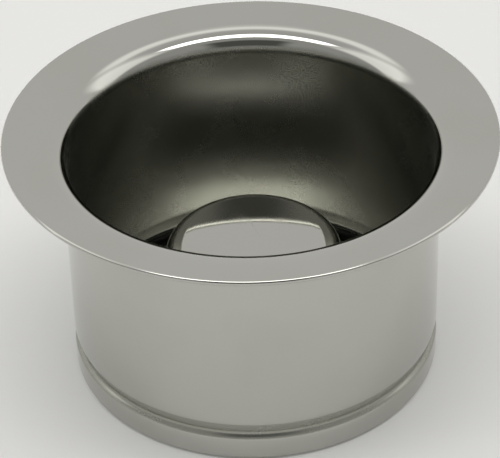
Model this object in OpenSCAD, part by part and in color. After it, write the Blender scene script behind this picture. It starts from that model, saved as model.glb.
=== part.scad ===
// Extra-deep sink flange for a kitchen waste disposer, with its lift-out stopper.
// Millimetres, +Z up. The origin is on the axis, at the foot of the flange.
// Every outline below is a list of [radius, height] points, turned about +Z.

/* [Sink flange] */
// Outside diameter of the rim
rim_d = 114.3; // [108:0.1:120]
// Outside diameter of the tube, which passes down through the sink hole
tube_d = 87.5; // [86:0.1:88.5]
// Height from the foot to the top of the rim's edge
flange_h = 61.8; // [50:0.1:80]
// Thickness of the drawn sheet
sheet_t = 1.2; // [0.9:0.1:1.4]
// Slope of the rim, falling towards the mouth, in degrees
rim_slope = 8; // [4:1:12]
// Radius of the gentle bend from the rim to the roll at the mouth, on its polished side
mouth_bend_r = 38; // [20:1:60]
// Angle of that bend, in degrees
mouth_bend = 5; // [3:1:6]
// Radius of the upper part of the roll, on its polished side
mouth_top_r = 8; // [7:0.5:9]
// Radius of the roll at the mouth where it meets the tube, on its polished side
mouth_r = 4.8; // [3.5:0.1:5.5]
// Angle of the roll's slope where its radius changes, in degrees
mouth_turn = 32; // [20:1:40]
// Radius of the outer corner at the foot
foot_r = 0.9; // [0.5:0.1:1.2]
// Diameter of the opening inside the seat at the foot
seat_opening_d = 76.4; // [74:0.1:78]

/* [Snap ring groove] */
// Height of the bottom of the groove above the foot
groove_z = 7.5; // [6.8:0.1:9]
// Radius of the bottom of the groove
valley_r = 1.1; // [0.8:0.1:1.2]
// Radius of the shoulder of the bead below the groove
bead_r = 2.2; // [1.8:0.1:3]
// Steepness of the groove's lower side, in degrees
lower_slope = 42; // [36:1:46]
// Steepness of the groove's upper side, in degrees
upper_slope = 17; // [12:1:20]
// Radius that blends the groove's upper side into the tube
shoulder_r = 6; // [3:0.5:7]

/* [Stopper knob] */
// Height of the flat top above the foot of the flange
knob_top_z = 30.8; // [28:0.1:45]
// Diameter of the knob just below its rounded top edge
knob_d = 42; // [36:0.5:44]
// Radius of the rounded top edge
knob_edge_r = 4.8; // [3:0.1:8]
// Draft of the knob's side, in degrees
knob_draft = 9; // [3:1:10]
// Thickness of the drawn cap
cap_t = 0.8; // [0.6:0.1:1]
// Radius between the knob's side and the skirt round it
cap_foot_r = 1.2; // [0.8:0.1:1.4]
// Diameter of the cap's skirt, which covers the rubber ring but for its edge
skirt_d = 76; // [72:0.5:77]
// Slope of the skirt, falling outwards, in degrees
skirt_slope = 20; // [14:1:22]

/* [Stopper seal] */
// Outside diameter of the rubber ring
seal_d = 82.6; // [81:0.1:82.8]
// Height of the ring's outer edge above the foot of the flange
seal_top_z = 3.8; // [3.4:0.1:4]
// Thickness of the ring where it sits round the core
seal_t = 2.1; // [1.8:0.1:2.4]
// Gap left between the ring and the stopper that turns inside it
seal_gap = 0.3; // [0.2:0.05:0.4]

/* [Stopper centre] */
// Diameter of the core's hub, which the ring sits round
hub_d = 52; // [48:0.5:54]
// Diameter of the core's shoulder, above the ring
shoulder_d = 57; // [56:0.5:60]
// Diameter of the retainer plate, below the ring
plate_d = 71; // [66:0.5:73]
// Thickness of the retainer plate
plate_t = 1; // [0.8:0.1:1.2]
// Number of ribs inside the core
rib_count = 6; // [3:1:8]
// Diameter of the centre screw
screw_d = 6.2; // [5:0.1:6.3]
// Diameter of the screw's head
head_d = 12; // [10:0.1:12.5]

/* [Hidden] */
$fn = 128;
ARC_STEP = 7.5;
BORE_GAP = 0.05;

tube_r = tube_d / 2;
seat_r = seat_opening_d / 2;
seal_r = seal_d / 2;
hub_r = hub_d / 2;
knob_r = knob_d / 2;

// Flange: centres of its arcs
mouth_c_r = tube_r + mouth_r - sheet_t;
mouth_top_c_r = mouth_c_r + (mouth_top_r - mouth_r) * sin(mouth_turn);
rim_end_r = rim_d / 2 - sheet_t / 2;
rim_end_z = flange_h - sheet_t / 2;
mouth_start = rim_slope + mouth_bend;
bend_c_r = mouth_top_c_r + (mouth_bend_r - mouth_top_r) * sin(mouth_start);
bend_mid_r = mouth_bend_r - sheet_t / 2;
rim_run = (rim_end_r + bend_mid_r * sin(rim_slope) - bend_c_r) / cos(rim_slope);
bend_c_z = rim_end_z - rim_run * sin(rim_slope) - bend_mid_r * cos(rim_slope);
mouth_top_c_z = bend_c_z + (mouth_bend_r - mouth_top_r) * cos(mouth_start);
mouth_c_z = mouth_top_c_z + (mouth_top_r - mouth_r) * cos(mouth_turn);
bead_z = groove_z - (bead_r + valley_r) * sin(lower_slope);
valley_c_r = tube_r - bead_r + (bead_r + valley_r) * cos(lower_slope);
taper_r0 = valley_c_r - valley_r * cos(upper_slope);
taper_r1 = tube_r - shoulder_r * (1 - cos(upper_slope));
taper_z1 = groove_z + valley_r * sin(upper_slope) + (taper_r1 - taper_r0) / tan(upper_slope);
shoulder_z = taper_z1 + shoulder_r * sin(upper_slope);

// Stopper: heights, from the retainer plate upwards
STACK_GAP = 0.1;
plate_top_z = 3;
seal_low_z = plate_top_z + STACK_GAP;
shoulder_low_z = seal_low_z + seal_t + STACK_GAP;
shoulder_t = 2.4;
cap_seat_z = shoulder_low_z + shoulder_t;

// Knob cap: centres of its arcs
knob_edge_c_r = knob_r - knob_edge_r * cos(knob_draft);
knob_edge_c_z = knob_top_z - knob_edge_r;
foot_c_z = cap_seat_z + cap_t + cap_foot_r;
side_low_z = foot_c_z - cap_foot_r * sin(knob_draft);
side_high_z = knob_edge_c_z + knob_edge_r * sin(knob_draft);
side_low_r = knob_r + (side_high_z - side_low_z) * tan(knob_draft);
foot_c_r = side_low_r + cap_foot_r * cos(knob_draft);

// Skirt of the cap: level over the core's shoulder, then bent down towards its edge
skirt_bend_r = 6;
skirt_mid_r = skirt_bend_r - cap_t / 2;
skirt_c_r = shoulder_d / 2 + STACK_GAP;
skirt_c_z = cap_seat_z + cap_t - skirt_bend_r;
skirt_edge_r = skirt_d / 2 - cap_t / 2;
skirt_run = skirt_edge_r - skirt_c_r - skirt_mid_r * sin(skirt_slope);
skirt_edge_z = skirt_c_z + skirt_mid_r * cos(skirt_slope) - skirt_run * tan(skirt_slope);

// Core: a cup that is open at the top, with the boss for the threaded insert inside it
core_gap = 0.4;
core_wall = 2;
core_floor_z = cap_seat_z;
core_top_z = knob_top_z - cap_t - knob_edge_r;
core_low_r = side_low_r - cap_t - core_gap;
core_high_r = core_low_r - (core_top_z - cap_seat_z) * tan(knob_draft);
boss_r = 8;
boss_top_z = 22;
rib_top_z = 19;
rib_t = 1.6;
rib_root = 0.6;

// Stiffening ring pressed down in the retainer plate
press_mid_r = 22;
press_r = 2.5;
press_angle = 35;

// Screw stack, inside the cup drawn up in the middle of the plate
cup_r = 9;
cup_top_z = 10;
pocket_r = cup_r + BORE_GAP;
boss_low_r = pocket_r + core_wall;
insert_r = 5;
insert_low_z = cup_top_z + 0.5;
insert_h = 8;
knurl_h = 2.4;
washer_r = 7;
washer_t = 1;
lock_t = 1.5;
lock_r = 5.4;
lock_split = 1.2;
head_h = 3.4;
washer_low_z = cup_top_z - plate_t - washer_t;
lock_low_z = washer_low_z - lock_t;
screw_r = screw_d / 2;
head_r = head_d / 2;
hole_r = screw_r + 0.2;

// Points along an arc about c, from angle a0 to angle a1, counted from +R towards +Z
function arc(c, r, a0, a1) =
    let (n = max(2, ceil(abs(a1 - a0) / ARC_STEP)))
    [for (i = [0 : n]) let (a = a0 + (a1 - a0) * i / n) c + r * [cos(a), sin(a)]];

function flip(points) = [for (i = [len(points) - 1 : -1 : 0]) points[i]];

// The flange's wall from the bead up to the rim, at a depth below its outer face
function wall_line(depth) = concat(
    arc([tube_r - bead_r, bead_z], bead_r - depth, 0, lower_slope),
    arc([valley_c_r, groove_z], valley_r + depth, 180 + lower_slope, 180 - upper_slope),
    arc([tube_r - shoulder_r, shoulder_z], shoulder_r - depth, -upper_slope, 0),
    arc([mouth_c_r, mouth_c_z], mouth_r - sheet_t + depth, 180, 90 + mouth_turn),
    arc([mouth_top_c_r, mouth_top_c_z], mouth_top_r - sheet_t + depth, 90 + mouth_turn, 90 + mouth_start),
    arc([bend_c_r, bend_c_z], mouth_bend_r - sheet_t + depth, 90 + mouth_start, 90 + rim_slope));

// The cap's wall from the centre of its top out to its skirt, at a depth below its outer face
function cap_line(depth) = concat(
    [[0, knob_top_z - depth]],
    arc([knob_edge_c_r, knob_edge_c_z], knob_edge_r - depth, 90, knob_draft),
    arc([foot_c_r, foot_c_z], cap_foot_r + depth, 180 + knob_draft, 270),
    arc([skirt_c_r, skirt_c_z], skirt_bend_r - depth, 90, 90 - skirt_slope));

module turned(points) {
    rotate_extrude() polygon(points);
}

module ring(outer_r, inner_r, low_z, height) {
    turned([[inner_r, low_z], [outer_r, low_z], [outer_r, low_z + height], [inner_r, low_z + height]]);
}

// One drawn sheet: rim, mouth, tube, groove, bead, and the lip at the foot that is the seat
module sink_flange() {
    lip_r = sheet_t / 2;
    color("#a9a7a0")
        turned(concat(
            arc([seat_r + lip_r, lip_r], lip_r, 90, 270),
            arc([tube_r - foot_r, foot_r], foot_r, -90, 0),
            wall_line(0),
            arc([rim_end_r, rim_end_z], sheet_t / 2, rim_slope - 90, rim_slope + 90),
            flip(wall_line(sheet_t)),
            [[tube_r - sheet_t, sheet_t]]));
}

// Thin drawn cap like a hat: the knob is the stopper's handle, and the skirt covers the ring
module knob_cap() {
    color("#a5a5a0")
        turned(concat(
            cap_line(0),
            arc([skirt_edge_r, skirt_edge_z], cap_t / 2, 90 - skirt_slope, -90 - skirt_slope),
            flip(cap_line(cap_t))));
}

// One rib, from the boss to the cup's wall, and a little way into both
module core_rib() {
    end_low_r = core_low_r - core_wall / 2;
    end_high_r = end_low_r - (rib_top_z - core_floor_z) * tan(knob_draft);
    translate([0, rib_t / 2, 0])
        rotate([90, 0, 0])
            linear_extrude(rib_t)
                polygon([[boss_low_r - rib_root, core_floor_z - rib_root],
                         [end_low_r, core_floor_z - rib_root],
                         [end_high_r, rib_top_z], [boss_r - rib_root, rib_top_z],
                         [boss_r - rib_root, cup_top_z + 2 * core_wall],
                         [boss_low_r - rib_root, cup_top_z + core_wall]]);
}

// Moulded core: the hub and shoulder that hold the rubber ring, and a ribbed cup inside the cap
module stopper_core() {
    round_r = 0.5;
    insert_top_z = insert_low_z + insert_h;
    color("#1c1c1c")
        union() {
            turned(concat(
                [[pocket_r, plate_top_z], [hub_r, plate_top_z], [hub_r, shoulder_low_z]],
                arc([shoulder_d / 2 - round_r, shoulder_low_z + round_r], round_r, -90, 0),
                arc([shoulder_d / 2 - round_r, cap_seat_z - round_r], round_r, 0, 90),
                [[core_low_r, cap_seat_z], [core_high_r, core_top_z],
                 [core_high_r - core_wall, core_top_z], [core_low_r - core_wall, core_floor_z],
                 [boss_low_r, core_floor_z], [boss_low_r, cup_top_z + core_wall],
                 [boss_r, cup_top_z + 2 * core_wall], [boss_r, boss_top_z],
                 [0, boss_top_z], [0, insert_top_z + core_wall / 2],
                 [insert_r + BORE_GAP, insert_top_z + core_wall / 2], [insert_r + BORE_GAP, cup_top_z],
                 [pocket_r, cup_top_z]]));
            for (i = [0 : rib_count - 1])
                rotate([0, 0, 360 / rib_count * i]) core_rib();
        }
}

// Brass insert in the core's boss, with a waist between its two knurled bands
module threaded_insert() {
    bore_r = screw_r + BORE_GAP;
    waist_r = insert_r - 0.6;
    top_z = insert_low_z + insert_h;
    color("#b08d57")
        turned([[bore_r, insert_low_z], [insert_r, insert_low_z],
                [insert_r, insert_low_z + knurl_h], [waist_r, insert_low_z + knurl_h + 0.6],
                [waist_r, top_z - knurl_h - 0.6], [insert_r, top_z - knurl_h],
                [insert_r, top_z], [bore_r, top_z]]);
}

// Rubber ring: level where the core holds it, then falling to a lip that lies on the seat
module seal_ring() {
    bore_r = hub_r + seal_gap;
    edge_r = 0.8;
    lip_r = sheet_t / 2;
    seat_z = sheet_t + BORE_GAP;
    low_end_r = seal_r - edge_r;
    color("#101010")
        turned(concat(
            [[bore_r, seal_low_z], [plate_d / 2 + 0.8, seal_low_z], [seat_r + lip_r, seat_z]],
            arc([low_end_r, seat_z + edge_r], edge_r, -90, 0),
            arc([low_end_r, seal_top_z - edge_r], edge_r, 0, 80),
            [[shoulder_d / 2 + 0.8, seal_low_z + seal_t], [bore_r, seal_low_z + seal_t]]));
}

// One side of the plate's pressed ring, from the inside out, at a depth below the plate's top face
function pressed_line(depth) =
    let (up_r = press_r - plate_t + depth, down_r = press_r - depth, run = press_r * 2 - plate_t)
    concat(
        arc([press_mid_r - run * sin(press_angle), plate_top_z - press_r], down_r, 90, 90 - press_angle),
        arc([press_mid_r, plate_top_z - press_r + run * cos(press_angle)], up_r,
            270 - press_angle, 270 + press_angle),
        arc([press_mid_r + run * sin(press_angle), plate_top_z - press_r], down_r, 90 + press_angle, 90));

// Stainless plate under the ring, drawn up in the middle into a cup that hides the screw
module retainer_plate() {
    edge_r = plate_t / 2;
    plate_low_z = plate_top_z - plate_t;
    color("#c3c4c6")
        turned(concat(
            [[hole_r, cup_top_z - plate_t], [cup_r - plate_t, cup_top_z - plate_t]],
            arc([cup_r, plate_top_z], plate_t, 180, 270),
            pressed_line(plate_t),
            arc([plate_d / 2 - edge_r, plate_low_z + edge_r], edge_r, -90, 90),
            flip(pressed_line(0)),
            [[cup_r, plate_top_z], [cup_r, cup_top_z], [hole_r, cup_top_z]]));
}

module flat_washer() {
    color("#b9babc") ring(washer_r, hole_r, washer_low_z, washer_t);
}

// Split spring washer
module lock_washer() {
    color("#9a9b9d")
        difference() {
            ring(lock_r, hole_r, lock_low_z, lock_t);
            rotate([0, 0, 20])
                translate([0, -lock_split / 2, lock_low_z - 1])
                    cube([lock_r + 1, lock_split, lock_t + 2]);
        }
}

// Pan head screw, head down, with a cross recess
module centre_screw() {
    tip_z = insert_low_z + insert_h;
    head_low_z = lock_low_z - head_h;
    round_r = 1.6;
    slot_w = 1.4;
    slot_l = 6;
    slot_deep = 1.8;
    color("#c8c9cb")
        difference() {
            turned(concat(
                [[0, head_low_z]],
                arc([head_r - round_r, head_low_z + round_r], round_r, -90, 0),
                [[head_r, lock_low_z], [screw_r, lock_low_z], [screw_r, tip_z - 1],
                 [screw_r - 1, tip_z], [0, tip_z]]));
            for (turn = [0, 90])
                rotate([0, 0, turn])
                    translate([-slot_l / 2, -slot_w / 2, head_low_z - 1])
                        cube([slot_l, slot_w, slot_deep + 1]);
        }
}

sink_flange();
knob_cap();
stopper_core();
threaded_insert();
seal_ring();
retainer_plate();
flat_washer();
lock_washer();
centre_screw();
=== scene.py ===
"""A disposer sink flange in polished nickel, with its lift-out stopper, in soft studio light.

Lengths are metres in the CAD frame: +Z up, the origin on the axis at the flange's foot.
Outlines are lists of (radius, height) points. Angles of arcs are degrees from +R towards +Z.
"""

import math

import bmesh
import bpy
from mathutils import Matrix, Vector


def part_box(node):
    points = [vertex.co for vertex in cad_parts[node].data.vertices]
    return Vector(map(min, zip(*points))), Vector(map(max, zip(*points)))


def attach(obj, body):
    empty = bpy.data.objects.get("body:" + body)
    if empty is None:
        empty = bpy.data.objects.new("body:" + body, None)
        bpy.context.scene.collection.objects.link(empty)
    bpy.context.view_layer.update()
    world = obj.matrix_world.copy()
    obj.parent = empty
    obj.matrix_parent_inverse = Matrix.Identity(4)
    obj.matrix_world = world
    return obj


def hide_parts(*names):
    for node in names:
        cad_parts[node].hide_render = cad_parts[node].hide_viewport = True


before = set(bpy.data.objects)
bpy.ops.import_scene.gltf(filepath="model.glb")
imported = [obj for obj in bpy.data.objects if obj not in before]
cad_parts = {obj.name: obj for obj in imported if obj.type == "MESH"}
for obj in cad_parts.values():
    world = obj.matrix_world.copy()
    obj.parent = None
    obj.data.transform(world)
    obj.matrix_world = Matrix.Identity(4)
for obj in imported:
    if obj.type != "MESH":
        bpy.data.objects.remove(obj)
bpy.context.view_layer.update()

MM = 0.001
SEGMENTS = 384  # faces round the axis of a large piece
PLATE_SEGMENTS = 256
INSERT_SEGMENTS = 240
SMALL_SEGMENTS = 96  # faces round the axis of a screw or washer
ARC_STEP = 2.5  # degrees between the points of an arc
GROOVE_POINTS = 10  # points across one groove
SHARP_EDGE = math.radians(40)
TINY = 1e-7  # radii closer than this are the same


# ---------------------------------------------------------------- outlines

def arc(centre, radius, start, end, step=ARC_STEP):
    count = max(2, math.ceil(abs(end - start) / step))
    turns = [math.radians(start + (end - start) * i / count) for i in range(count + 1)]
    return [(centre[0] + radius * math.cos(a), centre[1] + radius * math.sin(a)) for a in turns]


def between(start, end, count):
    """Points that part a straight stretch into count lengths, without its two ends."""
    steps = [i / count for i in range(1, count)]
    return [(start[0] + (end[0] - start[0]) * t, start[1] + (end[1] - start[1]) * t) for t in steps]


def grooves(start, end, count, depth):
    """A straight stretch with count round-bottomed grooves cut into its left side."""
    length = math.dist(start, end)
    along = ((end[0] - start[0]) / length, (end[1] - start[1]) / length)
    point_count = count * GROOVE_POINTS
    steps = [i / point_count for i in range(1, point_count)]
    points = []
    for t in steps:
        cut = depth * (0.5 - 0.5 * math.cos(2 * math.pi * t * count)) ** 2
        points.append((
            start[0] + along[0] * length * t - along[1] * cut,
            start[1] + along[1] * length * t + along[0] * cut,
        ))
    return points


# ---------------------------------------------------------------- meshes

def add_piece(name, mesh):
    """A smooth-shaded object from a bmesh, with its sharp edges left sharp."""
    bmesh.ops.recalc_face_normals(mesh, faces=mesh.faces)
    for edge in mesh.edges:
        edge.smooth = not edge.is_manifold or edge.calc_face_angle() < SHARP_EDGE
    for face in mesh.faces:
        face.smooth = True
    data = bpy.data.meshes.new(name)
    mesh.to_mesh(data)
    mesh.free()
    piece = bpy.data.objects.new(name, data)
    bpy.context.scene.collection.objects.link(piece)
    return piece


def turned_mesh(outline, segments, radius_at=None):
    """A closed outline turned about +Z. Points on the axis become poles.

    radius_at(radius, height, angle), if given, may change a point's radius, for threads and knurls.
    """
    mesh = bmesh.new()
    angles = [2 * math.pi * i / segments for i in range(segments)]
    rows = []
    for radius, height in outline:
        if radius < TINY:
            rows.append([mesh.verts.new((0, 0, height))])
            continue
        radii = [radius_at(radius, height, a) if radius_at else radius for a in angles]
        places = [(r * math.cos(a), r * math.sin(a), height) for r, a in zip(radii, angles)]
        rows.append([mesh.verts.new(place) for place in places])
    for low, high in zip(rows, rows[1:] + rows[:1]):
        if len(low) == 1 and len(high) == 1:
            continue
        for i in range(segments):
            j = (i + 1) % segments
            ring = [low[i % len(low)], low[j % len(low)], high[j % len(high)], high[i % len(high)]]
            mesh.faces.new(list(dict.fromkeys(ring)))
    return mesh


def turned(name, outline, segments=SEGMENTS, radius_at=None):
    return add_piece(name, turned_mesh(outline, segments, radius_at))


def hand_over(piece, material, body, slot, *nodes):
    """Gives the piece its material, puts it under its body's empty and hides the parts it replaces;
    slot is not used.
    """
    piece.data.materials.clear()
    piece.data.materials.append(material)
    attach(piece, body)
    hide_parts(*nodes)


# ---------------------------------------------------------------- shader nodes

class Shader:
    """Short calls that add nodes to one material's or world's tree."""

    def __init__(self, owner):
        owner.use_nodes = True
        self.tree = owner.node_tree
        self.nodes = owner.node_tree.nodes

    def feed(self, socket, value):
        if isinstance(value, bpy.types.NodeSocket):
            self.tree.links.new(value, socket)
        elif value is not None:
            socket.default_value = value

    def maths(self, kind, *values):
        node = self.nodes.new("ShaderNodeMath")
        node.operation = kind
        for socket, value in zip(node.inputs, values):
            self.feed(socket, value)
        return node.outputs[0]

    def add(self, a, b):
        return self.maths("ADD", a, b)

    def times(self, a, b):
        return self.maths("MULTIPLY", a, b)

    def ramp(self, value, low, high, start=0.0, end=1.0):
        """Start below low, end above high, and smooth in between."""
        node = self.nodes.new("ShaderNodeMapRange")
        node.interpolation_type = "SMOOTHSTEP"
        for name, number in (("From Min", low), ("From Max", high), ("To Min", start), ("To Max", end)):
            self.feed(node.inputs[name], number)
        self.feed(node.inputs["Value"], value)
        return node.outputs[0]

    def band(self, value, low, high, soft):
        """1 from low to high, falling to 0 over soft outside them."""
        rising = self.ramp(value, low - soft, low)
        return self.times(rising, self.ramp(value, high, high + soft, 1.0, 0.0))

    def mix(self, factor, a, b, colour=False):
        node = self.nodes.new("ShaderNodeMix")
        node.data_type = "RGBA" if colour else "FLOAT"
        in_a, in_b, out = (6, 7, 2) if colour else (2, 3, 0)  # the sockets of this data type
        self.feed(node.inputs[0], factor)
        self.feed(node.inputs[in_a], (*a, 1) if isinstance(a, tuple) else a)
        self.feed(node.inputs[in_b], (*b, 1) if isinstance(b, tuple) else b)
        return node.outputs[out]

    def split(self, vector):
        node = self.nodes.new("ShaderNodeSeparateXYZ")
        self.feed(node.inputs[0], vector)
        return node.outputs

    def join(self, x, y, z):
        node = self.nodes.new("ShaderNodeCombineXYZ")
        for socket, value in zip(node.inputs, (x, y, z)):
            self.feed(socket, value)
        return node.outputs[0]

    def coords(self, kind):
        return self.nodes.new("ShaderNodeTexCoord").outputs[kind]

    def noise(self, vector, scale, detail=2.0, w=None):
        node = self.nodes.new("ShaderNodeTexNoise")
        node.noise_dimensions = "3D" if w is None else "4D"
        self.feed(node.inputs["Vector"], vector)
        if w is not None:
            self.feed(node.inputs["W"], w)
        node.inputs["Scale"].default_value = scale
        node.inputs["Detail"].default_value = detail
        return node.outputs["Fac"]

    def bump(self, height, depth, normal=None):
        node = self.nodes.new("ShaderNodeBump")
        node.inputs["Strength"].default_value = 1.0
        node.inputs["Distance"].default_value = depth
        self.feed(node.inputs["Height"], height)
        self.feed(node.inputs["Normal"], normal)
        return node.outputs[0]


class Finish(Shader):
    """A Principled material with the marks that turning and polishing leave round the axis."""

    def __init__(self, name, metallic=0.0):
        self.material = bpy.data.materials.new(name)
        super().__init__(self.material)
        self.surface = self.nodes["Principled BSDF"]
        self.surface.inputs["Metallic"].default_value = metallic
        self.place = self.coords("Object")
        self.x, self.y, self.z = self.split(self.place)
        squares = self.add(self.times(self.x, self.x), self.times(self.y, self.y))
        self.radius = self.maths("SQRT", squares)

    def rings(self, spacing, stretch, detail=3.0):
        """Marks round the axis, spacing apart and stretch times as long as that."""
        slow_x, slow_y = self.times(self.x, 1 / stretch), self.times(self.y, 1 / stretch)
        return self.noise(self.join(slow_x, slow_y, self.radius), 1 / spacing, detail, w=self.z)

    def patches(self, size, detail=2.0):
        return self.noise(self.place, 1 / size, detail)

    def scratches(self, size, amount):
        """Fine straight scratches in two directions, 1 where there is one. Amount is 0 to 1."""
        marks = []
        for across, along in ((self.x, self.y), (self.y, self.x)):
            lean = self.add(across, self.times(along, 0.35))
            vector = self.join(lean, self.times(along, 0.04), self.times(self.z, 0.5))
            low, high = 0.80 - 0.12 * amount, 0.82 - 0.1 * amount
            marks.append(self.ramp(self.noise(vector, 1 / size, 1.0), low, high))
        return self.maths("MAXIMUM", *marks)

    def done(self, colour, roughness, *bumps):
        colour = (*colour, 1) if isinstance(colour, tuple) else colour
        self.feed(self.surface.inputs["Base Color"], colour)
        self.feed(self.surface.inputs["Roughness"], roughness)
        normal = None
        for height, depth in bumps:
            normal = self.bump(height, depth, normal)
        self.feed(self.surface.inputs["Normal"], normal)
        return self.material


# ---------------------------------------------------------------- finishes

NICKEL = (0.500, 0.497, 0.466)
NICKEL_WARM = (0.470, 0.464, 0.420)
# Darker satin colours: painted shade inside the tube and on the knob's low skirt.
TUBE_SATIN_SHADE = (0.365, 0.366, 0.327)
SKIRT_SATIN_SHADE = (0.430, 0.430, 0.387)
POLISHED_ROUGHNESS = 0.03
TUBE_ROUGHNESS = 0.27
SKIRT_ROUGHNESS = 0.31
WAVE_DEPTH = 1.2e-6  # the slow unevenness that buffing leaves
HAIRLINE_DEPTH = 0.06e-6


def nickel(name, satin, tone, dull, outside=False):
    """Polished nickel plate, satin below a height and inside a radius, or outside it for a skirt, with
    a darker colour there that is painted shade.

    satin is the radius and the height. tone is the darker colour there, painted shade, and dull is the
    satin's roughness.
    """
    shade = Finish(name, metallic=1.0)
    hairlines = shade.rings(0.12 * MM, 14)
    smears = shade.patches(9 * MM, 4.0)
    tints = shade.patches(22 * MM)
    scratches = shade.scratches(1.2 * MM, 0.3)
    waves = shade.patches(6 * MM, 1.0)
    rough = shade.add(POLISHED_ROUGHNESS, shade.ramp(smears, 0.55, 0.8, 0.0, 0.04))
    rough = shade.add(rough, shade.ramp(hairlines, 0.5, 0.75, 0.0, 0.015))
    rough = shade.add(rough, shade.times(scratches, 0.08))
    colour = shade.mix(shade.ramp(tints, 0.42, 0.7, 0.0, 0.35), NICKEL, NICKEL_WARM, colour=True)
    satin_r, satin_z = satin
    feather = shade.times(shade.add(smears, -0.5), 1.6 * MM)
    low = shade.ramp(shade.add(shade.z, feather), satin_z - 0.5 * MM, satin_z + 0.5 * MM, 1.0, 0.0)
    ends = (0.0, 1.0) if outside else (1.0, 0.0)
    satin_and_shade = shade.times(low, shade.ramp(shade.radius, satin_r, satin_r + 0.05 * MM, *ends))
    grain = shade.patches(0.25 * MM)
    satin_rough = shade.add(dull, shade.ramp(tints, 0.35, 0.7, -0.02, 0.02))
    satin_rough = shade.add(satin_rough, shade.ramp(grain, 0.3, 0.7, -0.01, 0.01))
    rough = shade.mix(satin_and_shade, rough, satin_rough)
    # The satin zone takes the darker tone: painted shade inside the tube and low on the knob.
    colour = shade.mix(satin_and_shade, colour, tone, colour=True)
    return shade.done(colour, rough, (waves, WAVE_DEPTH), (hairlines, HAIRLINE_DEPTH))


def rubber(name):
    shade = Finish(name)
    bloom = shade.patches(5 * MM, 5.0)
    grain = shade.patches(0.2 * MM, 3.0)
    rings = shade.rings(0.3 * MM, 20)
    black, grey = (0.012, 0.012, 0.013), (0.034, 0.034, 0.033)
    colour = shade.mix(shade.ramp(bloom, 0.48, 0.72), black, grey, colour=True)
    rough = shade.add(shade.ramp(bloom, 0.3, 0.7, 0.46, 0.62), shade.ramp(grain, 0.3, 0.7, -0.05, 0.05))
    shade.surface.inputs["Specular IOR Level"].default_value = 0.45
    return shade.done(colour, rough, (grain, 8e-6), (rings, 5e-6))


def plastic(name):
    shade = Finish(name)
    flow = shade.patches(12 * MM, 3.0)
    texture = shade.patches(0.35 * MM, 4.0)
    black, grey = (0.016, 0.016, 0.017), (0.026, 0.025, 0.025)
    colour = shade.mix(shade.ramp(flow, 0.4, 0.65), black, grey, colour=True)
    rough = shade.add(shade.ramp(flow, 0.3, 0.7, 0.34, 0.42), shade.ramp(texture, 0.3, 0.7, 0.0, 0.06))
    return shade.done(colour, rough, (texture, 10e-6))


def turned_metal(name, colour, dull, rough, spacing):
    """Metal cut on a lathe, with tool rings round the axis and a dulled colour in patches."""
    shade = Finish(name, metallic=1.0)
    tool = shade.rings(spacing, 30)
    tarnish = shade.patches(3 * MM, 5.0)
    pits = shade.ramp(shade.patches(0.4 * MM, 2.0), 0.68, 0.74)
    tinted = shade.mix(shade.ramp(tarnish, 0.45, 0.7), colour, dull, colour=True)
    roughness = shade.add(shade.ramp(tarnish, 0.3, 0.75, rough, rough + 0.14), shade.times(pits, 0.15))
    return shade.done(tinted, roughness, (tool, 3e-6), (pits, -4e-6))


def rolled_steel(name):
    """Sheet steel with the straight grain of the rolling mill along Y."""
    shade = Finish(name, metallic=1.0)
    grain = shade.noise(shade.join(shade.x, shade.times(shade.y, 0.02), shade.z), 1 / (0.12 * MM), 4.0)
    stain = shade.patches(14 * MM, 5.0)
    scratches = shade.scratches(1.5 * MM, 1.0)
    clean, stained, dark_grain = (0.60, 0.60, 0.59), (0.50, 0.49, 0.47), (0.45, 0.45, 0.45)
    sheet = shade.mix(shade.ramp(stain, 0.4, 0.7), clean, stained, colour=True)
    colour = shade.mix(shade.ramp(grain, 0.35, 0.7, 0.0, 0.5), sheet, dark_grain, colour=True)
    rough = shade.add(shade.ramp(grain, 0.3, 0.7, 0.24, 0.36), shade.ramp(stain, 0.4, 0.7, 0.0, 0.08))
    rough = shade.add(rough, shade.times(scratches, 0.1))
    return shade.done(colour, rough, (grain, 2.5e-6), (scratches, -3e-6))


# ---------------------------------------------------------------- sink flange

flange_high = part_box("sink_flange")[1]
SHEET = 1.2 * MM
TUBE_R = 43.75 * MM
RIM_SLOPE = 8  # degrees from level
MOUTH_START = 13  # slope where the gentle bend meets the roll, in degrees
MOUTH_TURN = 32  # slope where the roll tightens, in degrees
MOUTH_BEND_R, MOUTH_TOP_R, MOUTH_R = 38 * MM, 8 * MM, 4.8 * MM
GROOVE_Z, VALLEY_R, BEAD_R, SHOULDER_R = 7.5 * MM, 1.1 * MM, 2.2 * MM, 6 * MM
LOWER_SLOPE, UPPER_SLOPE = 42, 17
FOOT_R = 0.9 * MM
SEAT_R = 38.2 * MM


def flange_centres():
    """Centres of the mouth's three arcs from the tube up to the rim, worked out as in CAD."""
    slope, start, turn = (math.radians(angle) for angle in (RIM_SLOPE, MOUTH_START, MOUTH_TURN))
    low_r = TUBE_R + MOUTH_R - SHEET
    top_r = low_r + (MOUTH_TOP_R - MOUTH_R) * math.sin(turn)
    bend_r = top_r + (MOUTH_BEND_R - MOUTH_TOP_R) * math.sin(start)
    middle = MOUTH_BEND_R - SHEET / 2
    run = (flange_high.x - SHEET / 2 + middle * math.sin(slope) - bend_r) / math.cos(slope)
    bend_z = flange_high.z - SHEET / 2 - run * math.sin(slope) - middle * math.cos(slope)
    top_z = bend_z + (MOUTH_BEND_R - MOUTH_TOP_R) * math.cos(start)
    low_z = top_z + (MOUTH_TOP_R - MOUTH_R) * math.cos(turn)
    return (low_r, low_z), (top_r, top_z), (bend_r, bend_z)


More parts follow.
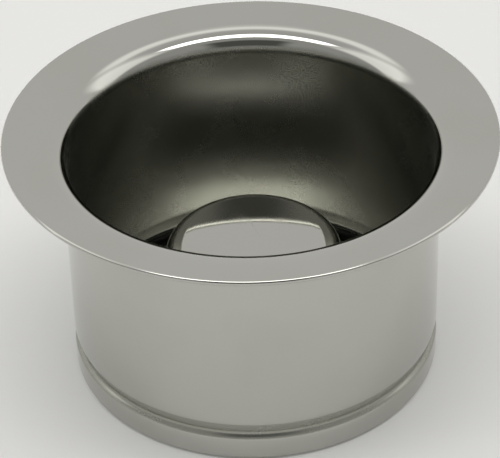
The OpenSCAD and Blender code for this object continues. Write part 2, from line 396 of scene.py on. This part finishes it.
def flange_wall(depth):
    """The flange's wall from the bead up to the rim, at a depth below its outer face."""
    low, up = math.radians(LOWER_SLOPE), math.radians(UPPER_SLOPE)
    bead = (TUBE_R - BEAD_R, GROOVE_Z - (BEAD_R + VALLEY_R) * math.sin(low))
    valley = (bead[0] + (BEAD_R + VALLEY_R) * math.cos(low), GROOVE_Z)
    taper_in = valley[0] - VALLEY_R * math.cos(up)
    taper_out = TUBE_R - SHOULDER_R * (1 - math.cos(up))
    taper_z = GROOVE_Z + VALLEY_R * math.sin(up) + (taper_out - taper_in) / math.tan(up)
    shoulder = (TUBE_R - SHOULDER_R, taper_z + SHOULDER_R * math.sin(up))
    mouth, mouth_top, bend = flange_centres()
    straight_r = TUBE_R - depth
    return (
        arc(bead, BEAD_R - depth, 0, LOWER_SLOPE, 4)
        + arc(valley, VALLEY_R + depth, 180 + LOWER_SLOPE, 180 - UPPER_SLOPE, 4)
        + arc(shoulder, SHOULDER_R - depth, -UPPER_SLOPE, 0)
        + between((straight_r, shoulder[1]), (straight_r, mouth[1]), 6)
        + arc(mouth, MOUTH_R - SHEET + depth, 180, 90 + MOUTH_TURN, 2)
        + arc(mouth_top, MOUTH_TOP_R - SHEET + depth, 90 + MOUTH_TURN, 90 + MOUTH_START, 1.5)[1:]
        + arc(bend, MOUTH_BEND_R - SHEET + depth, 90 + MOUTH_START, 90 + RIM_SLOPE, 0.5)[1:]
    )


def make_flange(material):
    lip = SHEET / 2
    rim_end = (flange_high.x - lip, flange_high.z - lip)
    outer, inner = flange_wall(0), flange_wall(SHEET)
    edge = arc(rim_end, lip, RIM_SLOPE - 90, RIM_SLOPE + 90, 12)
    outline = (
        arc((SEAT_R + lip, lip), lip, 90, 270, 12)
        + arc((TUBE_R - FOOT_R, FOOT_R), FOOT_R, -90, 0, 9)
        + outer
        + between(outer[-1], edge[0], 6)
        + edge
        + between(edge[-1], inner[-1], 6)
        + inner[::-1]
        + arc((TUBE_R - SHEET - FOOT_R, SHEET + FOOT_R), FOOT_R, 0, -90, 9)
    )
    piece = turned("flange_shell", outline)
    hand_over(piece, material, "flange", "polished_nickel", "sink_flange")


# ---------------------------------------------------------------- stopper

knob_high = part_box("knob_cap")[1]
seal_low, seal_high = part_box("seal_ring")
plate_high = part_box("retainer_plate")[1]


def make_knob(material):
    """Thin drawn cap: flat top, rounded edge, drafted side, and a skirt down to a rolled edge."""
    sheet, edge_r, foot_r, draft = 0.8 * MM, 4.8 * MM, 1.2 * MM, 9
    seat_z, bend_r, slope = 7.7 * MM, 6 * MM, 20
    lean, fall = math.radians(draft), math.radians(slope)
    side_r, shoulder_r = 21 * MM, 28.6 * MM
    edge = (side_r - edge_r * math.cos(lean), knob_high.z - edge_r)
    foot_z = seat_z + sheet + foot_r
    side_low_z = foot_z - foot_r * math.sin(lean)
    side_high_z = edge[1] + edge_r * math.sin(lean)
    side_low_r = side_r + (side_high_z - side_low_z) * math.tan(lean)
    foot = (side_low_r + foot_r * math.cos(lean), foot_z)
    bend = (shoulder_r, seat_z + sheet - bend_r)
    middle = bend_r - sheet / 2
    skirt_end_r = knob_high.x - sheet / 2
    skirt_run = skirt_end_r - bend[0] - middle * math.sin(fall)
    skirt_end = (skirt_end_r, bend[1] + middle * math.cos(fall) - skirt_run * math.tan(fall))

    def wall(depth):
        top_z = knob_high.z - depth
        return (
            [(0, top_z)]
            + between((0, top_z), (edge[0], top_z), 10)
            + arc(edge, edge_r - depth, 90, draft)
            + arc(foot, foot_r + depth, 180 + draft, 270, 6)
            + arc(bend, bend_r - depth, 90, 90 - slope)
        )

    skirt_edge = arc(skirt_end, sheet / 2, 90 - slope, -90 - slope, 12)
    over, under = wall(0), wall(sheet)
    outline = (
        over
        + between(over[-1], skirt_edge[0], 6)
        + skirt_edge
        + between(skirt_edge[-1], under[-1], 6)
        + under[::-1]
    )
    piece = turned("knob_shell", outline)
    hand_over(piece, material, "stopper", "polished_nickel", "knob_cap")


def make_seal(material):
    """Moulded rubber ring with grooves in its top, sealing ribs on its lip and a parting line."""
    bore_r, flat_low_z, flat_high_z = 26.3 * MM, 3.1 * MM, 5.2 * MM
    edge_r, flash, parting_z = 0.8 * MM, 0.07 * MM, 2.52 * MM
    flat_end, edge_top_z = 36.3 * MM, 3.8 * MM
    low_end, high_end = (38.8 * MM, seal_low.z), (seal_high.x - edge_r, seal_low.z)
    top_edge = arc((high_end[0], edge_top_z - edge_r), edge_r, 0, 80, 5)
    top_inner = (29.3 * MM, flat_high_z)
    outline = (
        [(bore_r, flat_low_z)]
        + between((bore_r, flat_low_z), (flat_end, flat_low_z), 6)
        + [(flat_end, flat_low_z), low_end]
        + grooves(low_end, high_end, 2, 0.3 * MM)
        + arc((high_end[0], seal_low.z + edge_r), edge_r, -90, 0, 5)
        + [(seal_high.x - flash, parting_z - 0.07 * MM), (seal_high.x, parting_z)]
        + [(seal_high.x - flash, parting_z + 0.08 * MM)]
        + top_edge
        + grooves(top_edge[-1], top_inner, 6, 0.28 * MM)
        + [top_inner]
        + between(top_inner, (bore_r, flat_high_z), 3)
        + [(bore_r, flat_high_z)]
    )
    piece = turned("seal_moulding", outline)
    hand_over(piece, material, "seal", "black_rubber", "seal_ring")


def make_plate(material):
    """Pressed plate: a cup drawn up in the middle, a stiffening ring and a rolled edge."""
    sheet, hole_r, cup_r = 1 * MM, 3.3 * MM, 9 * MM
    press_mid, press_r, press_turn = 22 * MM, 2.5 * MM, 35
    top_z, cup_z = 3 * MM, plate_high.z
    shift = (press_r * 2 - sheet) * math.sin(math.radians(press_turn))
    drop = (press_r * 2 - sheet) * math.cos(math.radians(press_turn))
    edge = (plate_high.x - sheet / 2, top_z - sheet / 2)

    def pressed(depth):
        outside_r, hollow_r = press_r - depth, press_r - sheet + depth
        return (
            arc((press_mid - shift, top_z - press_r), outside_r, 90, 90 - press_turn, 5)
            + arc((press_mid, top_z - press_r + drop), hollow_r, 270 - press_turn, 270 + press_turn, 5)
            + arc((press_mid + shift, top_z - press_r), outside_r, 90 + press_turn, 90, 5)
        )

    under, over = pressed(sheet), pressed(0)
    corner_r, inner_r, burr = 0.6 * MM, 0.25 * MM, 0.1 * MM
    outline = (
        [(hole_r, cup_z - sheet + burr), (hole_r + burr, cup_z - sheet)]
        + arc((cup_r - sheet - inner_r, cup_z - sheet - inner_r), inner_r, 90, 0, 15)
        + arc((cup_r, top_z), sheet, 180, 270, 6)
        + under
        + between(under[-1], (edge[0], edge[1] - sheet / 2), 5)
        + arc(edge, sheet / 2, -90, 90, 9)
        + between((edge[0], edge[1] + sheet / 2), over[-1], 5)
        + over[::-1]
        + [(cup_r, top_z)]
        + arc((cup_r - corner_r, cup_z - corner_r), corner_r, 0, 90, 9)
        + [(hole_r + burr, cup_z), (hole_r, cup_z - burr)]
    )
    piece = turned("retainer_pressing", outline, PLATE_SEGMENTS)
    hand_over(piece, material, "stopper", "stainless_steel", "retainer_plate")


# ---------------------------------------------------------------- screw stack

SCREW_R = 3.1 * MM
THREAD_PITCH = 1.0 * MM
THREAD_DEPTH = 0.5 * MM
THREAD_STEPS = 10  # rows of points to one turn of the thread
screw_low, screw_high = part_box("centre_screw")
washer_low, washer_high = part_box("flat_washer")
lock_low, lock_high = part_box("lock_washer")
insert_low, insert_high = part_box("threaded_insert")


def thread_cut(height, angle):
    """How far the thread is cut in at a height and angle: 0 on the crest, 1 at the root."""
    phase = (height / THREAD_PITCH - angle / (2 * math.pi)) % 1
    return min(1, max(0, 2.6 * abs(phase - 0.5) - 0.15))


def rise(low, high, radius, step):
    count = math.ceil((high - low) / step)
    return [(radius, low + (high - low) * i / count) for i in range(count + 1)]


def make_screw(material):
    """Pan head screw, head down, with a thread and a tapered cross recess."""
    head_r, round_r, under_z = screw_high.x, 1.6 * MM, lock_low.z
    crown, crown_r, corner_r = 0.25 * MM, 60 * MM, 0.15 * MM
    full_z, end_z = under_z + 1.5 * MM, screw_high.z - 1 * MM
    outline = (
        [(0, screw_low.z)]
        + arc((0, screw_low.z + crown_r), crown_r, -89.4, -86.4, 0.6)
        + arc((head_r - round_r, screw_low.z + crown + round_r), round_r, -84, 0, 7)
        + arc((head_r - corner_r, under_z - corner_r), corner_r, 0, 90, 30)
        + [(SCREW_R, under_z)]
        + rise(under_z + 0.4 * MM, end_z, SCREW_R, THREAD_PITCH / THREAD_STEPS)
        + [(SCREW_R - 0.9 * MM, screw_high.z), (0, screw_high.z)]
    )

    def threaded(radius, height, angle):
        if abs(radius - SCREW_R) > TINY or height < under_z + 0.3 * MM:
            return radius
        start = (height - under_z) / (full_z - under_z)
        end = (end_z + THREAD_PITCH - height) / THREAD_PITCH
        return radius - THREAD_DEPTH * min(1, start, end) * thread_cut(height, angle)

    body = add_piece("screw_body", turned_mesh(outline, SMALL_SEGMENTS, threaded))

    # The cross recess: two tapered bars, cut away
    cutter_mesh = bmesh.new()
    wing_low, wing_high, depth = 3.0 * MM, 1.6 * MM, 1.9 * MM
    thick_low, thick_high = 0.72 * MM, 0.5 * MM
    for turn in (0, 90):
        made = bmesh.ops.create_cube(cutter_mesh, size=2)["verts"]
        for vertex in made:
            deep = vertex.co.z > 0
            length, thick = (wing_high, thick_high) if deep else (wing_low, thick_low)
            height = screw_low.z + depth if deep else screw_low.z - 1 * MM
            vertex.co = Vector((vertex.co.x * length, vertex.co.y * thick, height))
        bmesh.ops.rotate(cutter_mesh, verts=made, matrix=Matrix.Rotation(math.radians(turn), 3, "Z"))
    cutter = add_piece("recess_cutter", cutter_mesh)
    cut = body.modifiers.new("recess", "BOOLEAN")
    cut.operation = "DIFFERENCE"
    cut.solver = "EXACT"
    cut.use_self = True
    cut.object = cutter
    graph = bpy.context.evaluated_depsgraph_get()
    finished = bmesh.new()
    finished.from_mesh(bpy.data.meshes.new_from_object(body.evaluated_get(graph)))
    bpy.data.objects.remove(body)
    bpy.data.objects.remove(cutter)
    piece = add_piece("pan_head_screw", finished)
    hand_over(piece, material, "stopper", "stainless_steel", "centre_screw")


def make_insert(material):
    """Brass insert: two knurled bands with a waist between them, and a thread in its bore."""
    teeth, tooth, band, waist = 40, 0.3 * MM, 2.4 * MM, 0.6 * MM
    outer_r = insert_high.x
    low, high = insert_low.z, insert_high.z
    gap = 0.05 * MM
    bore_r = SCREW_R + gap
    outline = (
        [(bore_r + 0.3 * MM, low), (outer_r - tooth - 0.1 * MM, low)]
        + rise(low + 0.25 * MM, low + band, outer_r, 0.4 * MM)
        + [(outer_r - waist, low + band + waist), (outer_r - waist, high - band - waist)]
        + rise(high - band, high - 0.25 * MM, outer_r, 0.4 * MM)
        + [(outer_r - tooth - 0.1 * MM, high), (bore_r + 0.3 * MM, high)]
        + rise(low + 0.3 * MM, high - 0.3 * MM, bore_r, THREAD_PITCH / THREAD_STEPS)[::-1]
    )

    def knurled(radius, height, angle):
        if abs(radius - outer_r) < TINY:
            lean = (height - low) / outer_r * (1 if height < (low + high) / 2 else -1)
            return radius - tooth * abs(2 * ((teeth * (angle + lean) / (2 * math.pi)) % 1) - 1)
        if abs(radius - bore_r) < TINY:
            return radius - (THREAD_DEPTH - gap) * thread_cut(height, angle)
        return radius

    piece = turned("knurled_insert", outline, INSERT_SEGMENTS, knurled)
    hand_over(piece, material, "stopper", "brass", "threaded_insert")


def make_flat_washer(material):
    """Punched washer: rolled over on the side the punch came from, square on the other."""
    hole_r, roll, burr = 3.3 * MM, 0.3 * MM, 0.08 * MM
    low, high, outer_r = washer_low.z, washer_high.z, washer_high.x
    outline = (
        [(hole_r + burr, low), (outer_r - burr, low), (outer_r, low + burr)]
        + arc((outer_r - roll, high - roll), roll, 0, 90, 15)
        + arc((hole_r + roll, high - roll), roll, 90, 180, 15)
        + [(hole_r, low + burr)]
    )
    piece = turned("punched_washer", outline, SMALL_SEGMENTS)
    hand_over(piece, material, "stopper", "stainless_steel", "flat_washer")


def make_lock_washer(material):
    """Split spring washer, pressed flat, with a slanted cut and rounded edges."""
    hole_r, edge, steps = 3.3 * MM, 0.2 * MM, 88
    low, high, outer_r = lock_low.z, lock_high.z, lock_high.x
    middle = (low + high) / 2
    section = (
        arc((outer_r - edge, low + edge), edge, -90, 0, 30)
        + arc((outer_r - edge, high - edge), edge, 0, 90, 30)
        + arc((hole_r + edge, high - edge), edge, 90, 180, 30)
        + arc((hole_r + edge, low + edge), edge, 180, 270, 30)
    )
    split_at, gap, slant = math.radians(20), 1.0 * MM / outer_r, 0.45 / outer_r
    mesh = bmesh.new()
    rows = []
    for i in range(steps + 1):
        row = []
        for radius, height in section:
            start = split_at + gap / 2
            turn = start + (2 * math.pi - gap) * i / steps + slant * (height - middle)
            row.append(mesh.verts.new((radius * math.cos(turn), radius * math.sin(turn), height)))
        rows.append(row)
    count = len(section)
    for low_row, high_row in zip(rows, rows[1:]):
        for i in range(count):
            j = (i + 1) % count
            mesh.faces.new((low_row[i], low_row[j], high_row[j], high_row[i]))
    mesh.faces.new(rows[0])
    mesh.faces.new(rows[-1])
    piece = add_piece("split_washer", mesh)
    hand_over(piece, material, "stopper", "spring_steel", "lock_washer")


def finish_core(material):
    """The moulded core stays as the CAD made it, with its own material."""
    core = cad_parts["stopper_core"]
    core.data.materials.clear()
    core.data.materials.append(material)


# ---------------------------------------------------------------- stage, light and camera

CAMERA_AIM = Vector((-0.72 * MM, 0, 33.5 * MM))
CAMERA_DISTANCE = 0.5671
CAMERA_PITCH = 36.52
CAMERA_ROLL = -1.684
CAMERA_LENS = 172.88
SENSOR_WIDTH = 36
FLOOR_HALF = 4.0
FLOOR_GAP = 0.2 * MM  # keeps the floor just clear of the foot
FLOOR_GLOW = 0.25  # how much light comes through the paper


def add_camera():
    data = bpy.data.cameras.new("camera")
    data.lens = CAMERA_LENS
    data.sensor_width = SENSOR_WIDTH
    camera = bpy.data.objects.new("camera", data)
    bpy.context.scene.collection.objects.link(camera)
    pitch = math.radians(CAMERA_PITCH)
    back = Vector((0, -math.cos(pitch), math.sin(pitch)))
    turn = (-back).to_track_quat("-Z", "Y").to_matrix().to_4x4()
    roll = Matrix.Rotation(math.radians(CAMERA_ROLL), 4, "Z")
    camera.matrix_world = Matrix.Translation(CAMERA_AIM + back * CAMERA_DISTANCE) @ turn @ roll
    bpy.context.scene.camera = camera


def add_floor():
    """Pale paper that lets a little light through, and is clear when looked at from below."""
    mesh = bmesh.new()
    signs = ((-1, -1), (1, -1), (1, 1), (-1, 1))
    mesh.faces.new([mesh.verts.new((x * FLOOR_HALF, y * FLOOR_HALF, 0)) for x, y in signs])
    data = bpy.data.meshes.new("floor")
    mesh.to_mesh(data)
    mesh.free()
    floor = bpy.data.objects.new("floor", data)
    floor.location.z = -FLOOR_GAP
    bpy.context.scene.collection.objects.link(floor)
    material = bpy.data.materials.new("floor_paper")
    paper = Shader(material)
    surface = paper.nodes["Principled BSDF"]
    fibres = paper.noise(paper.coords("Object"), 1 / (0.6 * MM), 4.0)
    tone = paper.mix(fibres, (0.87, 0.87, 0.86), (0.89, 0.89, 0.88), colour=True)
    paper.feed(surface.inputs["Base Color"], tone)
    surface.inputs["Roughness"].default_value = 0.9
    surface.inputs["Specular IOR Level"].default_value = 0.2
    glow = paper.nodes.new("ShaderNodeBsdfTranslucent")
    glow.inputs["Color"].default_value = (0.9, 0.9, 0.89, 1)
    sheet = paper.nodes.new("ShaderNodeMixShader")
    sheet.inputs[0].default_value = FLOOR_GLOW
    paper.feed(sheet.inputs[1], surface.outputs[0])
    paper.feed(sheet.inputs[2], glow.outputs[0])
    clear = paper.nodes.new("ShaderNodeBsdfTransparent")
    choice = paper.nodes.new("ShaderNodeMixShader")
    facing = paper.nodes.new("ShaderNodeNewGeometry").outputs["Backfacing"]
    paper.feed(choice.inputs[0], facing)
    paper.feed(choice.inputs[1], sheet.outputs[0])
    paper.feed(choice.inputs[2], clear.outputs[0])
    paper.feed(paper.nodes["Material Output"].inputs["Surface"], choice.outputs[0])
    floor.data.materials.append(material)


def add_studio_light():
    """Plain soft studio light by direction: pale surroundings, long softboxes and a dimmer front.

    Tilt is the angle round the X axis in degrees: 0 is level to the front (-Y), 90 is overhead and
    180 is level to the back. Across is how far a direction leans to +X, as a slope.
    """
    world = bpy.data.worlds.new("studio")
    bpy.context.scene.world = world
    sky = Shader(world)
    x, y, z = sky.split(sky.coords("Generated"))
    tilt = sky.maths("DEGREES", sky.maths("ARCTAN2", z, sky.times(y, -1)))
    reach = sky.maths("SQRT", sky.add(sky.times(y, y), sky.times(z, z)))
    across = sky.maths("DIVIDE", x, sky.maths("MAXIMUM", reach, 0.001))
    wide = sky.maths("ABSOLUTE", across)

    surround = sky.ramp(tilt, 60, 130, 0.45, 0.72)
    side_boxes = sky.times(sky.band(tilt, 78, 112, 16), sky.ramp(wide, 0.4, 0.8))
    front_box = sky.times(sky.band(tilt, 76, 84, 6), sky.ramp(wide, 0.4, 0.6, 1.0, 0.0))
    back_box = sky.times(sky.band(tilt, 113, 117, 9), sky.ramp(wide, 0.4, 0.6, 1.0, 0.0))
    light = sky.add(surround, sky.times(side_boxes, 0.7))
    light = sky.add(light, sky.times(front_box, 5.5))
    light = sky.add(light, sky.times(back_box, 0.6))
    dim_front = sky.times(sky.band(tilt, 24, 50, 8), sky.ramp(wide, 0.25, 0.45, 1.0, 0.0))
    light = sky.times(light, sky.maths("SUBTRACT", 1.0, sky.times(dim_front, 0.75)))
    sky.feed(sky.nodes["Background"].inputs["Strength"], light)
    sky.nodes["Background"].inputs["Color"].default_value = (1, 0.995, 0.975, 1)


# ---------------------------------------------------------------- everything

add_camera()
add_floor()
add_studio_light()

STEEL, STEEL_DULL = (0.62, 0.61, 0.59), (0.50, 0.48, 0.45)
BRASS, BRASS_DULL = (0.74, 0.53, 0.24), (0.55, 0.36, 0.15)
SPRING, SPRING_DULL = (0.34, 0.335, 0.33), (0.2, 0.19, 0.185)
# Zones where the nickel turns satin and takes its painted shade colour.
tube_satin_and_shade = (TUBE_R - 0.12 * MM, flange_centres()[0][1] + 2.3 * MM)
skirt_satin_and_shade = (24.6 * MM, 9.2 * MM)
make_flange(nickel("polished_nickel", tube_satin_and_shade, TUBE_SATIN_SHADE, TUBE_ROUGHNESS))
make_knob(nickel("knob_nickel", skirt_satin_and_shade, SKIRT_SATIN_SHADE, SKIRT_ROUGHNESS, outside=True))
make_seal(rubber("black_rubber"))
make_plate(rolled_steel("pressed_steel"))
make_screw(turned_metal("screw_steel", STEEL, STEEL_DULL, 0.24, 0.1 * MM))
make_insert(turned_metal("brass", BRASS, BRASS_DULL, 0.26, 0.12 * MM))
make_flat_washer(turned_metal("washer_steel", STEEL, STEEL_DULL, 0.3, 0.4 * MM))
make_lock_washer(turned_metal("spring_steel", SPRING, SPRING_DULL, 0.38, 0.3 * MM))
finish_core(plastic("black_plastic"))

bpy.context.scene.view_settings.view_transform = "Standard"
bpy.context.view_layer.update()
